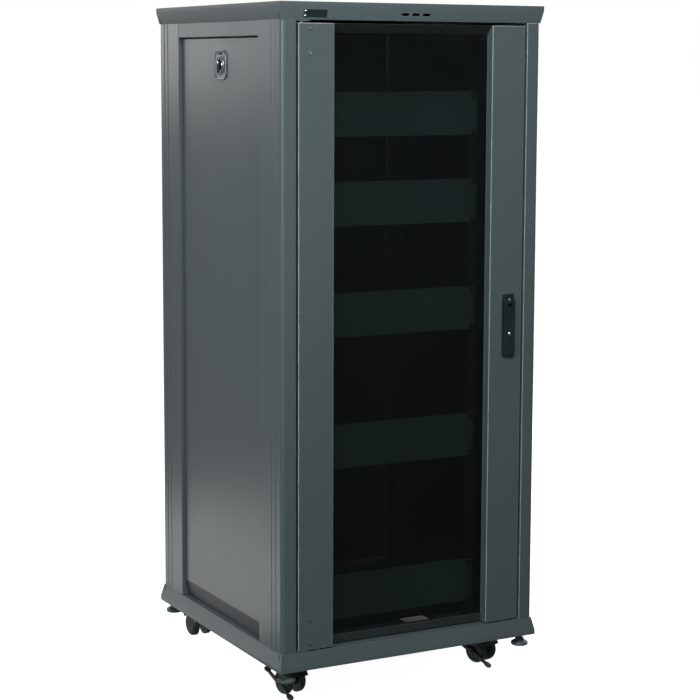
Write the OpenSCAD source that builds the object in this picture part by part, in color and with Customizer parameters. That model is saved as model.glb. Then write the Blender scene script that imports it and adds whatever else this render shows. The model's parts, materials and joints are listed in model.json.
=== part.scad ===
// Network server rack cabinet on casters, with a smoked glass front door.
// Z = 0 is the floor, X runs across the front and the front faces -Y. Millimetres.

/* [Cabinet] */
// Height of the rack space in rack units of 44.45 mm
rack_units = 27; // [25:1:32]
// Width over the corner posts
body_width = 568; // [564:2:600]
// Depth over the corner posts
body_depth = 580; // [560:2:760]
// Height of the base skirt
base_height = 35; // [34:1:48]
// Height of the top cap
cap_height = 33; // [32:1:45]
// Gap between the floor and the underside of the base
floor_gap = 75; // [75:1:79]
// How far the base skirt flares out past the posts
base_flare = 6; // [4:0.5:8]
// How far the cap's rim stands out past the posts
cap_flare = 5; // [4:0.5:8]
// Width of the box members that form the base and the cap
ring_depth = 60; // [56:1:70]
// Sheet thickness of the frame
sheet = 2; // [1.6:0.1:2.4]

/* [Corner posts] */
// Width of a post seen from the front
post_face = 30; // [28:0.5:32]
// Depth of a post seen from the side
post_side = 100; // [90:2:110]
// Radius of a post's outer corner
post_radius = 8; // [6:0.5:10]

/* [Front door] */
// Gap between the door and each post
door_gap = 5.5; // [5:0.25:6.5]
// Width of a door stile
stile_width = 74.5; // [68:0.5:80]
// Thickness of the door
door_depth = 24; // [22:0.5:26]
// Distance from the door's face back to the glass
glass_setback = 21; // [18:0.5:21]
// Thickness of the smoked glass
glass_thick = 3; // [2.5:0.5:3]
// Height of the handle's centre above the floor
handle_height = 718; // [500:1:900]

/* [Side panels] */
// Height of the recessed rail under a side panel
side_rail_low = 34; // [28:1:40]
// Height of the recessed rail over a side panel
side_rail_high = 29; // [28:1:40]
// Setback of the side panels behind the posts
panel_recess = 7; // [5:0.5:9]
// Distance from the panel's top edge down to its latch
latch_drop = 52; // [45:1:52]

/* [Rack rails] */
// Distance from the door's face back to the front rails
rail_setback = 165; // [150:5:180]
// Distance from the rear door's face to the rear rails
rear_setback = 110; // [90:5:140]

/* [Casters] */
// Radius of a caster wheel
wheel_radius = 25; // [24:0.5:25]
// Distance from the side face to a caster's swivel axis
caster_inset_x = 64; // [62:1:80]
// Distance from the front face to a front caster's swivel axis
caster_inset_front = 109; // [100:1:120]
// Distance from the rear face to a rear caster's swivel axis
caster_inset_rear = 54; // [52:1:100]

/* [Hidden] */

$fn = 48;
eps = 0.5;
seam = 0.4;

// Heights above the floor
half_w = body_width / 2;
half_d = body_depth / 2;
base_top = floor_gap + base_height;
rack_unit = 44.45;
rack_margin = 1.425;
rack_bottom = base_top + rack_margin;
cap_bottom = rack_bottom + rack_units * rack_unit + rack_margin;
cap_top = cap_bottom + cap_height;
pan_thick = 2;
pan_top = floor_gap + pan_thick;

// Base and cap
band_height = 9;
lid_thick = 2;
lid_margin = 24;
floor_opening = [65, 43];
floor_opening_centre = [123, -91];

// Posts: grooves are counted from the post's front face
groove_width = 3;
groove_depth = 1.4;
groove_places = [26, 44];

// Front and rear doors
door_half = half_w - post_face - door_gap;
door_bottom = base_top + 3;
door_top = cap_bottom - 6;
door_sheet = 1.5;
window_half = door_half - stile_width;
rebate = 10;
rail_height = 18;
low_rail_height = 16;
louvre_pitch = 30;
louvre_length = 150;
louvre_reach = 4.5;
pivot_x = door_half - 10;
pivot_inset = 8;
pin_r = 3;
pin_bore = 3.05;
hinge_block = [30, 13, 66];
hinge_screw_in = 15;

// Handle
handle_x = door_half - 32;
handle_size = [27, 124];
handle_plate_thick = 2;
handle_turn_z = handle_height + 50;
lever_front = 9.5;
lever_thick = 6;
lever_pin_y = 6.5;
lever_pin_r = 1.5;
lever_bore = 1.54;
spindle_r = 8;
lock_z = handle_height - 17;
plug_r = 4.5;
front_reach = 10.5;
cam_y = 33;
cam_thick = 3;
cam_length = 34;

// Side panels
panel_gap = 1.5;
panel_depth = 20;
panel_bottom = base_top + side_rail_low + 0.5;
panel_top = cap_bottom - side_rail_high - 3;
latch_z = panel_top - latch_drop;
latch_size = [58, 54];
latch_shift = -6;
latch_reach = 6.5;
side_cam_x = 26;
side_cam_length = latch_drop + 12;

// Rack space, as EIA-310 sets it for 19 inch equipment
hole_half_x = 465.1 / 2;
panel_half_x = 482.6 / 2;
rail_inner_x = 450.8 / 2;
rail_outer_x = 247;
hole_offsets = [6.35, 22.225, 38.1];
rail_hole_r = 3;
blank_units = 2;
blank_tops = [24, 20, 15, 9, 2];
blank_thick = 1.5;
blank_flange = 12;
brace_heights = [150, 700, latch_z - 60];

// Levelling feet
foot_inset = [17, 16];
foot_rest = 51;
foot_r = 17.5;
foot_stem_r = 5;

// Casters: front left, front right, rear left, rear right. An angle of 0 trails towards +X
trail = 14;
plate_size = 60;
bolt_half = 22;
bolt_head_r = 5.5;
plate_thick = 2.5;
axle_r = 3;
hood_r = 30;
caster_angles = [-85, -74, 90, 115];
wheel_inner = 9;
wheel_outer = 24;
wheel_round = 8;
pedal_y = -28;

// ---------------------------------------------------------------- helpers

// Mirror copy of the children on the other side in X
module both_x() {
    children();
    mirror([1, 0, 0]) children();
}

// Mirror copy of the children on the other side in Y
module both_y() {
    children();
    mirror([0, 1, 0]) children();
}

// Rectangle centred on the origin with round corners
module rounded(size, r) {
    square([size[0] - 2 * r, size[1]], center = true);
    square([size[0], size[1] - 2 * r], center = true);
    for (x = [-1, 1], y = [-1, 1])
        translate([x * (size[0] / 2 - r), y * (size[1] / 2 - r)]) circle(r);
}

// Slot of a given length and width, centred
module slot(length, width) {
    square([length - width, width], center = true);
    for (x = [-1, 1]) translate([x * (length - width) / 2, 0]) circle(width / 2);
}

// Extrudes an outline drawn in Y and Z along X, centred
module along_x(length) {
    translate([-length / 2, 0, 0]) rotate([90, 0, 90]) linear_extrude(length) children();
}

// Cylinder along +Y from y = 0
module rod_y(r, length) {
    rotate([-90, 0, 0]) cylinder(r = r, h = length);
}

// ---------------------------------------------------------------- base and cap

// Plan of one mitred member whose outer edge runs along X at y = -edge
module mitre_plan(half_length, edge, width) {
    a = half_length - seam / 2;
    polygon([[-a, -edge], [a, -edge], [a - width, -edge + width], [-a + width, -edge + width]]);
}

// One member of the base, along X; the outline is drawn in Y and Z
module base_member(half_length, edge) {
    intersection() {
        along_x(2 * half_length + 2 * base_flare) difference() {
            polygon([
                [-edge, base_top], [-edge - base_flare, floor_gap + band_height],
                [-edge - base_flare, floor_gap], [-edge - base_flare + sheet, floor_gap],
                [-edge - base_flare + sheet, pan_top], [-edge + ring_depth, pan_top],
                [-edge + ring_depth, base_top]]);
            polygon([
                [-edge + sheet, base_top - sheet],
                [-edge - base_flare + sheet, floor_gap + band_height],
                [-edge - base_flare + sheet, pan_top + sheet],
                [-edge + ring_depth - sheet, pan_top + sheet],
                [-edge + ring_depth - sheet, base_top - sheet]]);
        }
        linear_extrude(cap_top)
            mitre_plan(half_length + base_flare, edge + base_flare, ring_depth + base_flare);
    }
}

// One member of the cap, along X, with a rebate for the lid
module cap_member(half_length, edge) {
    land = -edge + lid_margin - 0.3;
    intersection() {
        along_x(2 * half_length + 2 * cap_flare) difference() {
            polygon([
                [-edge, cap_bottom], [-edge - cap_flare, cap_top - band_height],
                [-edge - cap_flare, cap_top], [land, cap_top], [land, cap_top - lid_thick],
                [-edge + ring_depth, cap_top - lid_thick], [-edge + ring_depth, cap_bottom]]);
            polygon([
                [-edge + sheet, cap_bottom + sheet],
                [-edge - cap_flare + sheet, cap_top - band_height],
                [-edge - cap_flare + sheet, cap_top - 2 * lid_thick],
                [-edge + ring_depth - sheet, cap_top - 2 * lid_thick],
                [-edge + ring_depth - sheet, cap_bottom + sheet]]);
        }
        linear_extrude(cap_top + 1)
            mitre_plan(half_length + cap_flare, edge + cap_flare, ring_depth + cap_flare);
    }
}

// Holes where the door hinge pins enter the base or the cap
module pin_holes(z) {
    both_y() translate([-pivot_x, -half_d + pivot_inset, z]) cylinder(r = pin_r + 1, h = 2 * sheet);
}

// Clearance holes for the stems of the levelling feet
module stem_holes(z, h) {
    for (x = [-1, 1], y = [-1, 1])
        translate([x * (half_w - foot_inset[0]), y * (half_d - foot_inset[1]), z])
            cylinder(r = foot_stem_r + 1, h = h);
}

module base_skirt() color("#3d4446") difference() {
    union() {
        for (a = [0, 180]) rotate([0, 0, a]) base_member(half_w, half_d);
        for (a = [90, 270]) rotate([0, 0, a]) base_member(half_d, half_w);
    }
    pin_holes(base_top - 1.5 * sheet);
    stem_holes(pan_top - 1, base_height + 2);
    caster_places() bolt_places() translate([0, 0, pan_top - 1]) cylinder(r = bolt_head_r + 1, h = 7);
}

module cap_frame() color("#454c4e") difference() {
    union() {
        for (a = [0, 180]) rotate([0, 0, a]) cap_member(half_w, half_d);
        for (a = [90, 270]) rotate([0, 0, a]) cap_member(half_d, half_w);
    }
    pin_holes(cap_bottom - 0.5 * sheet);
    vent_trio();
}

// Three short slots in the middle of the cap's front
module vent_trio() {
    for (i = [-1, 0, 1])
        translate([i * 23, -half_d - cap_flare - 1, cap_bottom + 12])
            rotate([-90, 0, 0]) linear_extrude(cap_flare + sheet + 3) slot(17, 5);
}

// Sheet that closes the underside, with a cable opening
module floor_pan() color("#2f3537") difference() {
    edge = base_flare - sheet - 0.4;
    translate([-half_w - edge, -half_d - edge, floor_gap])
        cube([body_width + 2 * edge, body_depth + 2 * edge, pan_thick - 0.05]);
    translate([floor_opening_centre[0], floor_opening_centre[1], floor_gap - 1])
        linear_extrude(pan_thick + 2) rounded(floor_opening, 6);
    stem_holes(floor_gap - 1, pan_thick + 2);
    caster_places() bolt_places() translate([0, 0, floor_gap - 1]) cylinder(r = 3.3, h = 4);
}

// Lid with two fields of ventilation slots
module top_panel() color("#454c4e") difference() {
    translate([0, 0, cap_top - lid_thick])
        linear_extrude(lid_thick)
            rounded([body_width - 2 * lid_margin, body_depth - 2 * lid_margin], 3);
    for (x = [-1, 1], i = [-4:4])
        translate([x * 110, i * 16, cap_top - lid_thick - 1])
            linear_extrude(lid_thick + 2) slot(150, 6);
}

// ---------------------------------------------------------------- posts and rails

// Plan of the front left post
module post_plan() {
    r = post_radius;
    difference() {
        translate([-half_w, -half_d]) {
            translate([r, 0]) square([post_face - r, post_side]);
            translate([0, r]) square([post_face, post_side - r]);
            translate([r, r]) circle(r);
        }
        translate([-half_w, -half_d]) {
            inner = r - sheet;
            translate([r, sheet]) square([post_face - r - sheet, post_side - 2 * sheet]);
            translate([sheet + groove_depth, r])
                square([post_face - 2 * sheet - groove_depth, post_side - r - sheet]);
            translate([r, r]) circle(inner);
        }
        for (g = groove_places)
            translate([-half_w, -half_d + g])
                polygon([[-1, -groove_width / 2], [0, -groove_width / 2],
                         [groove_depth, 0], [0, groove_width / 2], [-1, groove_width / 2]]);
    }
}

module post(side_x, side_y) {
    color("#474f51") mirror([side_x, 0, 0]) mirror([0, side_y, 0])
        translate([0, 0, base_top]) linear_extrude(cap_bottom - base_top) post_plan();
}

module post_front_left() post(0, 0);
module post_front_right() post(1, 0);
module post_rear_left() post(0, 1);
module post_rear_right() post(1, 1);

// Hollow rail between two left posts; top_in and low_in set its face back behind theirs
module side_rail(z, h, top_in, low_in) {
    length = body_depth - 2 * post_side;
    translate([-half_w, length / 2, z]) rotate([90, 0, 0]) linear_extrude(length) difference() {
        polygon([[low_in, 0], [post_face, 0], [post_face, h], [top_in, h]]);
        polygon([[low_in + sheet, sheet], [post_face - sheet, sheet],
                 [post_face - sheet, h - sheet], [top_in + sheet, h - sheet]]);
    }
}

module side_rails() color("#394143") both_x() {
    side_rail(base_top, side_rail_low, panel_recess, 2 * panel_recess);
    side_rail(cap_bottom - side_rail_high, side_rail_high, 0.5, 0.5);
}

// Angle rail with three holes in every rack unit, for the left side
module rack_rail(y, back) {
    flange = 30;
    difference() {
        union() {
            translate([-rail_outer_x, back > 0 ? y : y - sheet, base_top])
                cube([rail_outer_x - rail_inner_x, sheet, cap_bottom - base_top]);
            translate([-rail_outer_x, back > 0 ? y : y - flange, base_top])
                cube([sheet, flange, cap_bottom - base_top]);
        }
        for (u = [0:rack_units - 1], h = hole_offsets)
            translate([-hole_half_x, y - 2 * sheet, rack_bottom + u * rack_unit + h])
                rod_y(rail_hole_r, 4 * sheet);
    }
}

module rack_rails_front() color("#2b3032") both_x() rack_rail(-half_d + rail_setback, 1);
module rack_rails_rear() color("#2b3032") both_x() rack_rail(half_d - rear_setback, -1);

// Bars from the front posts to the rear posts, which carry the rack rails
module depth_braces() color("#2b3032") both_x()
    for (z = brace_heights)
        translate([-half_w + post_face, -half_d + 40, z - 15])
            cube([half_w - post_face - rail_outer_x, body_depth - 80, 30]);

// Blank panel with folded upper and lower flanges
module blank_panel(number) {
    h = blank_units * rack_unit - 0.8;
    top = rack_bottom + blank_tops[number - 1] * rack_unit - 0.4;
    y = -half_d + rail_setback - blank_thick;
    inner = rail_inner_x - 2;
    color("#363d3f") difference() {
        union() {
            translate([-panel_half_x, y, top - h]) cube([2 * panel_half_x, blank_thick, h]);
            for (z = [top - h, top - blank_thick])
                translate([-inner, y, z]) cube([2 * inner, blank_flange, blank_thick]);
        }
        for (x = [-1, 1], z = [hole_offsets[0], blank_units * rack_unit - hole_offsets[0]])
            translate([x * hole_half_x, y - 1, top + 0.4 - z]) rod_y(3.4, blank_thick + 2);
    }
}

module blank_panel_1() blank_panel(1);
module blank_panel_2() blank_panel(2);
module blank_panel_3() blank_panel(3);
module blank_panel_4() blank_panel(4);
module blank_panel_5() blank_panel(5);

// Screws that hold the blank panels to the rails
module rack_screws() color("#8d9496")
    for (t = blank_tops, x = [-1, 1], z = [hole_offsets[0], blank_units * rack_unit - hole_offsets[0]])
        translate([x * hole_half_x, -half_d + rail_setback - blank_thick - 3.5,
                   rack_bottom + t * rack_unit - z]) difference() {
            union() {
                rod_y(5, 3.5);
                rod_y(2.9, 16);
            }
            translate([0, -1, 0]) rotate([-90, 0, 0]) cylinder(r = 2.4, h = 3, $fn = 6);
        }

// ---------------------------------------------------------------- front door

// Plan of the right stile: a box tube with a rebate for the glass
module stile_plan() {
    front = -half_d;
    back = front + door_depth;
    inner = window_half;
    glass = front + glass_setback - 1;
    s = door_sheet;
    difference() {
        polygon([[inner, front], [door_half, front], [door_half, back],
                 [inner + rebate, back], [inner + rebate, glass], [inner, glass]]);
        polygon([[inner + s, front + s], [door_half - s, front + s], [door_half - s, back - s],
                 [inner + rebate + s, back - s], [inner + rebate + s, glass - s],
                 [inner + s, glass - s]]);
    }
}

module stile() {
    translate([0, 0, door_bottom]) linear_extrude(door_top - door_bottom) stile_plan();
}

module door_stile_left() color("#3f4749") difference() {
    mirror([1, 0, 0]) stile();
    for (z = screw_heights())
        translate([-pivot_x + hinge_screw_in, -half_d - 1, z]) rod_y(2.05, door_sheet + 2);
}

module door_stile_right() color("#3f4749") difference() {
    stile();
    translate([handle_x, -half_d - 1, handle_turn_z]) rod_y(spindle_r, door_depth + 2);
}

// Bars between the stiles: the upper one has a sloped face
module door_rails() color("#343b3d") {
    back = -half_d + door_depth;
    glass = -half_d + glass_setback - 1;
    along_x(2 * window_half - 0.2)
        polygon([[-half_d + 2, door_top], [back, door_top], [back, door_top - rail_height],
                 [glass, door_top - rail_height]]);
    along_x(2 * window_half - 0.2)
        polygon([[glass - 2, door_bottom], [back, door_bottom],
                 [back, door_bottom + low_rail_height], [glass - 2, door_bottom + low_rail_height]]);
}

module door_window() color([0.08, 0.1, 0.1, 0.5]) {
    low = door_bottom + low_rail_height + eps;
    high = door_top - rail_height - eps;
    half = window_half + rebate - eps;
    translate([-half, -half_d + glass_setback, low]) cube([2 * half, glass_thick, high - low]);
}

// Rubber strips between the glass and the stiles
module window_gasket() color("#151819") both_x()
    translate([window_half + eps, -half_d + glass_setback - 1, door_bottom + low_rail_height + eps])
        cube([rebate - 2 * eps, 1, door_top - rail_height - door_bottom - low_rail_height - 2 * eps]);

// Heights of the hinge block screws
function screw_heights() = [door_top - 10, door_top - 56, door_bottom + 13, door_bottom + 59];

// Block in the end of a stile, with the pin that the door turns on; up is 1 or -1
module hinge_block(z, up) {
    translate([-pivot_x, -half_d + pivot_inset, z]) mirror([0, 0, up > 0 ? 0 : 1]) {
        translate([-8, -pivot_inset + door_sheet, -hinge_block[2] - 2])
            cube(hinge_block);
        translate([0, 0, -4]) cylinder(r = pin_r, h = 16);
    }
}

module hinge_pair() {
    hinge_block(door_top, 1);
    hinge_block(door_bottom, -1);
}

module door_hinges() color("#7f8688") difference() {
    hinge_pair();
    for (z = screw_heights())
        translate([-pivot_x + hinge_screw_in, -half_d, z]) rod_y(2.02, 12);
}

module door_screws() color("#9aa0a2")
    for (z = screw_heights())
        translate([-pivot_x + hinge_screw_in, -half_d - 1.6, z]) difference() {
            union() {
                rod_y(3.6, 1.6);
                rod_y(2, 11);
            }
            translate([0, -1, 0]) rod_y(1.3, 2);
        }

// Plates on the base and under the cap that the hinge pins turn in
module hinge_brackets() color("#7f8688") both_y()
    for (z = [base_top, cap_bottom - 2.5])
        translate([-half_w + post_face + 0.2, -half_d + 1, z]) difference() {
            cube([30, 22, 2.5]);
            translate([half_w - post_face - 0.2 - pivot_x, pivot_inset - 1, -1])
                cylinder(r = pin_bore, h = 5);
        }

// ---------------------------------------------------------------- handle and locks

module handle_plate() color("#1e2223") difference() {
    translate([handle_x, -half_d, handle_height]) rotate([90, 0, 0])
        linear_extrude(handle_plate_thick) rounded(handle_size, 1.5);
    translate([handle_x, -half_d - 5, handle_turn_z]) rod_y(spindle_r, 10);
    translate([handle_x, -half_d - 5, lock_z]) rod_y(plug_r + 1.5, 4.5);
}

// Disc with a tongue in front and the spindle behind
module handle_rotor() color("#26292a") {
    face = -half_d - handle_plate_thick - 0.4;
    translate([handle_x, 0, handle_turn_z]) difference() {
        union() {
            translate([0, face - 0.9, 0]) rod_y(12.5, 1);
            translate([0, face, 0]) rod_y(spindle_r - 0.05, door_depth + 6);
            translate([0, face, 0]) rod_y(5, -half_d + cam_y + cam_thick + 1 - face);
            translate([-5, -half_d - lever_front, -7])
                cube([10, lever_front - handle_plate_thick - 0.8, 14]);
        }
        translate([-6, -half_d - lever_pin_y, 0]) rotate([0, 90, 0]) cylinder(r = lever_bore, h = 12);
    }
}

module lever_pin() color("#8d9496")
    translate([handle_x - 11, -half_d - lever_pin_y, handle_turn_z])
        rotate([0, 90, 0]) cylinder(r = lever_pin_r, h = 22);

// Lever: two cheeks on the pin and a bar below them
module handle_lever() color("#202425") {
    front = -half_d - lever_front;
    top = handle_turn_z - 13.5;
    low = handle_height - handle_size[1] / 2 + 2;
    difference() {
        union() {
            translate([handle_x - 12, front, low]) cube([24, lever_thick, top - low]);
            for (x = [-11.4, 5.4]) translate([handle_x + x, 0, 0]) {
                translate([0, -half_d - lever_pin_y, handle_turn_z])
                    rotate([0, 90, 0]) cylinder(r = 2.9, h = 6);
                translate([0, front, top - 1]) cube([6, 4.5, handle_turn_z - top + 1]);
            }
            translate([handle_x, front - 0.7, lock_z]) rod_y(7, 2);
        }
        translate([handle_x, front - 2, lock_z]) rod_y(plug_r + 0.05, 14);
        translate([handle_x - 12, -half_d - lever_pin_y, handle_turn_z])
            rotate([0, 90, 0]) cylinder(r = lever_bore, h = 24);
        translate([handle_x - 8, front + 2.5, low + 6]) cube([16, lever_thick, lock_z - 16 - low]);
    }
}

// Plug that the key turns
module lock_cylinder() color("#c3c8ca")
    translate([handle_x, -half_d - front_reach, lock_z]) difference() {
        rod_y(plug_r, 8);
        translate([-0.6, -1, -2.8]) cube([1.2, 5, 5.6]);
    }

// Cam with its hole on the spindle, pointing up; a positive turn swings it towards +X
module cam_blade(length, r) {
    difference() {
        union() {
            rod_y(r + 4, cam_thick);
            translate([-6, 0, 0]) cube([12, cam_thick, length]);
        }
        translate([0, -1, 0]) rod_y(r, cam_thick + 2);
    }
}

module latch_cam() color("#8d9496")
    translate([handle_x, -half_d + cam_y, handle_turn_z]) cam_blade(cam_length, 5.02);

// Keeper on a right post, for the front and the rear door
module door_strikes() color("#8d9496") both_y()
    translate([half_w - post_face, 0, handle_turn_z - 15]) {
        translate([-16, -half_d + 28, 0]) cube([16, 3, 30]);
        translate([-2, -half_d + 28, 0]) cube([2, 32, 30]);
    }

// Knob, spindle and cam of the rear door's lock
module rear_lock() color("#26292a")
    mirror([0, 1, 0]) translate([handle_x, -half_d, handle_turn_z]) {
        translate([0, -5.5, 0]) rod_y(13, 5);
        translate([-4, -front_reach, -12]) cube([8, front_reach - 5, 24]);
        translate([0, -1, 0]) rod_y(6, cam_y + cam_thick + 1);
        translate([0, cam_y, 0]) cam_blade(cam_length, 2);
    }

// ---------------------------------------------------------------- rear door

// Children at each louvre, on the outer face of the mirrored rear door
module louvre_places() {
    for (x = [-1, 1], z = [door_bottom + 260, door_top - 260], i = [-5:5])
        translate([x * 105, -half_d, z + i * louvre_pitch]) children();
}

// Pressed hood that slopes out and is open below
module louvre_hood() {
    along_x(louvre_length)
        polygon([[0.5, 7.5], [0, 7.5], [-louvre_reach, -6.5], [0.5, -6.5]]);
}

// Space under a hood and through the sheet
module louvre_opening() {
    along_x(louvre_length - 2 * door_sheet)
        polygon([[door_sheet + 1, 3.9], [0, 3.9], [-louvre_reach + 1, -6.8],
                 [-louvre_reach + 1, -8], [0, -8], [0, -4.5], [door_sheet + 1, -4.5]]);
}

module rear_door() color("#3f4749") mirror([0, 1, 0]) difference() {
    union() {
        translate([-door_half, -half_d, door_bottom]) difference() {
            cube([2 * door_half, door_depth, door_top - door_bottom]);
            translate([door_sheet, door_sheet, door_sheet])
                cube([2 * door_half - 2 * door_sheet, door_depth,
                      door_top - door_bottom - 2 * door_sheet]);
        }
        louvre_places() louvre_hood();
    }
    louvre_places() louvre_opening();
    translate([handle_x, -half_d - 1, handle_turn_z]) rod_y(6.05, door_sheet + 2);
    for (z = [door_bottom - 1, door_top - door_sheet - 1])
        translate([-pivot_x, -half_d + pivot_inset, z]) cylinder(r = pin_r + 0.02, h = door_sheet + 2);
}

module rear_hinges() color("#7f8688") mirror([0, 1, 0]) hinge_pair();

// ---------------------------------------------------------------- side panels

module side_panel() difference() {
    inner = body_depth - 2 * post_side - 2 * panel_gap;
    translate([-half_w + panel_recess, -inner / 2, panel_bottom]) difference() {
        cube([panel_depth, inner, panel_top - panel_bottom]);
        translate([door_sheet, door_sheet, door_sheet])
            cube([panel_depth, inner - 2 * door_sheet, panel_top - panel_bottom - 2 * door_sheet]);
    }
    translate([-half_w + panel_recess - 1, latch_shift, latch_z])
        rotate([0, 90, 0]) cylinder(r = 12, h = 5);
}

// Local axes of a left latch: X is up, Z is outwards
module latch_frame() {
    translate([-half_w + panel_recess, latch_shift, latch_z]) rotate([0, -90, 0]) children();
}

module side_latch_plate() latch_frame() difference() {
    union() {
        linear_extrude(1.5) rounded(latch_size, 10);
        linear_extrude(2.8) difference() {
            rounded(latch_size, 10);
            rounded([latch_size[0] - 5, latch_size[1] - 5], 7.5);
        }
        cylinder(r = 18, h = 4);
        translate([0, 0, -12]) cylinder(r = 11.5, h = 13);
    }
    translate([0, 0, -13]) cylinder(r = 6.05, h = 20);
    translate([0, 0, 2]) cylinder(r = 14, h = 5);
    translate([22.5, 0, -0.5]) rotate([0, 0, 90]) linear_extrude(5) slot(20, 3);
}

// Wing, spindle and cam; the cam points to the rear and turns up
module side_latch() latch_frame() {
    translate([0, 0, 2.4]) cylinder(r = 12.5, h = 2);
    translate([0, 0, 4]) linear_extrude(latch_reach - 4) rounded([25, 9], 4.4);
    translate([0, 0, -side_cam_x]) cylinder(r = 6, h = side_cam_x + 3);
    translate([-8, -8, -side_cam_x - 2]) cube([16, side_cam_length, cam_thick]);
}

module side_panel_left() color("#565f61") side_panel();
module side_panel_right() color("#565f61") mirror([1, 0, 0]) side_panel();
module side_latch_plate_left() color("#8a9294") side_latch_plate();
module side_latch_plate_right() color("#8a9294") mirror([1, 0, 0]) side_latch_plate();
module side_latch_left() color("#1c1f20") side_latch();
module side_latch_right() color("#1c1f20") mirror([1, 0, 0]) side_latch();

// Blank badge on the sloped front of the cap
module badge_plate() color("#25292a") {
    slope = atan2(cap_flare, cap_height - band_height);
    translate([-half_w + 69, -half_d, cap_bottom]) rotate([slope, 0, 0])
        translate([0, -0.05, 12]) rotate([90, 0, 0]) {
            linear_extrude(1.2) rounded([48, 14], 1);
            for (y = [-4, 4]) translate([-21, y, 1]) cylinder(r = 1.2, h = 0.9);
        }
}

// ---------------------------------------------------------------- levelling feet

module foot(x, y) color("#33383a")
    translate([x * (half_w - foot_inset[0]), y * (half_d - foot_inset[1]), foot_rest]) {
        cylinder(r1 = foot_r - 2, r2 = foot_r, h = 2);
        translate([0, 0, 2]) cylinder(r = foot_r, h = 4);
        translate([0, 0, 6]) cylinder(r1 = foot_r, r2 = 11, h = 4);
        translate([0, 0, 9]) cylinder(r = 10, h = 6, $fn = 6);
        translate([0, 0, 8]) cylinder(r = foot_stem_r, h = base_top + 40 - foot_rest);
    }

module foot_front_left() foot(-1, -1);
module foot_front_right() foot(1, -1);
module foot_rear_left() foot(-1, 1);
module foot_rear_right() foot(1, 1);

// Threaded bushes inside the base that the feet screw into
module foot_nuts() color("#8d9496")
    for (x = [-1, 1], y = [-1, 1])
        translate([x * (half_w - foot_inset[0]), y * (half_d - foot_inset[1]), pan_top + sheet])
            difference() {
                cylinder(r = 9, h = 14);
                translate([0, 0, -1]) cylinder(r = foot_stem_r + 0.04, h = 16);
            }

// ---------------------------------------------------------------- casters

function caster_x(i) = (i % 2 == 0 ? -1 : 1) * (half_w - caster_inset_x);
function caster_y(i) = i < 2 ? -half_d + caster_inset_front : half_d - caster_inset_rear;

// Children at each of the four caster places
module caster_places() {
    for (i = [0:3]) translate([caster_x(i), caster_y(i), 0]) children();
}

module bolt_places() {
    for (x = [-1, 1], y = [-1, 1]) translate([x * bolt_half, y * bolt_half, 0]) children();
}

// Children in the frame of a caster's axle: X rolls, Y is the axle
module at_axle(i) {
    translate([caster_x(i), caster_y(i), wheel_radius]) rotate([0, 0, caster_angles[i]])
        translate([trail, 0, 0]) children();
}

// Outline in X and Z, extruded along the axle between -half and half
module across(half) {
    translate([0, half, 0]) rotate([90, 0, 0]) linear_extrude(2 * half) children();
}

module caster_plates() color("#6f7678") caster_places() {
    difference() {
        translate([0, 0, floor_gap - plate_thick]) linear_extrude(plate_thick)
            rounded([plate_size, plate_size], 6);
        bolt_places() translate([0, 0, floor_gap - 5]) cylinder(r = 3.3, h = 10);
    }
    translate([0, 0, 54]) cylinder(r = 4, h = floor_gap - 54 - 1);
}

module caster_bolts() color("#8d9496") caster_places() bolt_places() {
    translate([0, 0, floor_gap - 9]) cylinder(r = 3, h = 12);
    translate([0, 0, pan_top]) cylinder(r = bolt_head_r, h = 4, $fn = 6);
    translate([0, 0, floor_gap - plate_thick - 5]) cylinder(r = bolt_head_r, h = 5, $fn = 6);
}

// Hood over the twin wheels, two cheeks for the axle and a neck for the kingpin
module caster_hood(i) color("#16191a") difference() {
    neck_top = floor_gap - plate_thick - 0.5 - wheel_radius;
    at_axle(i) {
        across(25) difference() {
            intersection() {
                circle(hood_r);
                polygon([[0, 0], [60 * cos(25), 60 * sin(25)], [60, 60], [-60, 60],
                         [60 * cos(142), 60 * sin(142)]]);
            }
            circle(hood_r - 2.5);
        }
        difference() {
            across(8.5) intersection() {
                circle(hood_r - 1);
                union() {
                    circle(9);
                    polygon([[-9, 0], [9, 0], [18, 30], [-23, 30]]);
                }
            }
            across(5) translate([-30, -30]) square([60, 47]);
            across(12) circle(axle_r + 0.06);
        }
        translate([-trail, 0, 20]) cylinder(r = 8.5, h = neck_top - 24);
        translate([-trail, 0, neck_top - 6]) cylinder(r = 16, h = 6);
    }
    at_axle(i) translate([-trail, 0, 25]) cylinder(r = 4.05, h = 60);
}

// Right half of a wheel's profile: radius in X, distance along the axle in Y
module wheel_profile() {
    flat = wheel_outer - wheel_round;
    difference() {
        union() {
            translate([axle_r + 0.02, wheel_inner])
                square([wheel_radius - axle_r - 0.02, flat - wheel_inner]);
            translate([axle_r + 0.02, flat - 0.01])
                square([wheel_radius - wheel_round - axle_r - 0.02, wheel_round + 0.01]);
            intersection() {
                translate([wheel_radius - wheel_round, flat]) circle(wheel_round);
                translate([wheel_radius - wheel_round, flat - 0.01])
                    square([wheel_round, wheel_round + 0.01]);
            }
        }
        translate([8, wheel_outer - 1.5]) square([wheel_radius - wheel_round - 9, 3]);
    }
}

// Twin wheels on their axle; a braked pair's axle also carries the pedal
module caster_wheels(i) color("#1d2021") at_axle(i) {
    reach = i < 2 ? -pedal_y + 2.5 : wheel_outer;
    translate([0, -reach, 0]) rod_y(axle_r, reach + wheel_outer);
    for (s = [-1, 1]) rotate([s * 90, 0, 0]) rotate_extrude() wheel_profile();
}

// Rocker pedal that turns on the axle's left end, outside the wheels
module brake_pedal(i) color("#121415") at_axle(i) translate([0, pedal_y, 0]) difference() {
    across(2) {
        circle(7);
        polygon([[-4, -3], [0, -5], [44, -20.5], [48, -20.5], [49, -16.5], [3, 4.5],
                 [-42, 18], [-46, 14]]);
    }
    across(3) circle(axle_r + 0.06);
}

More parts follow.
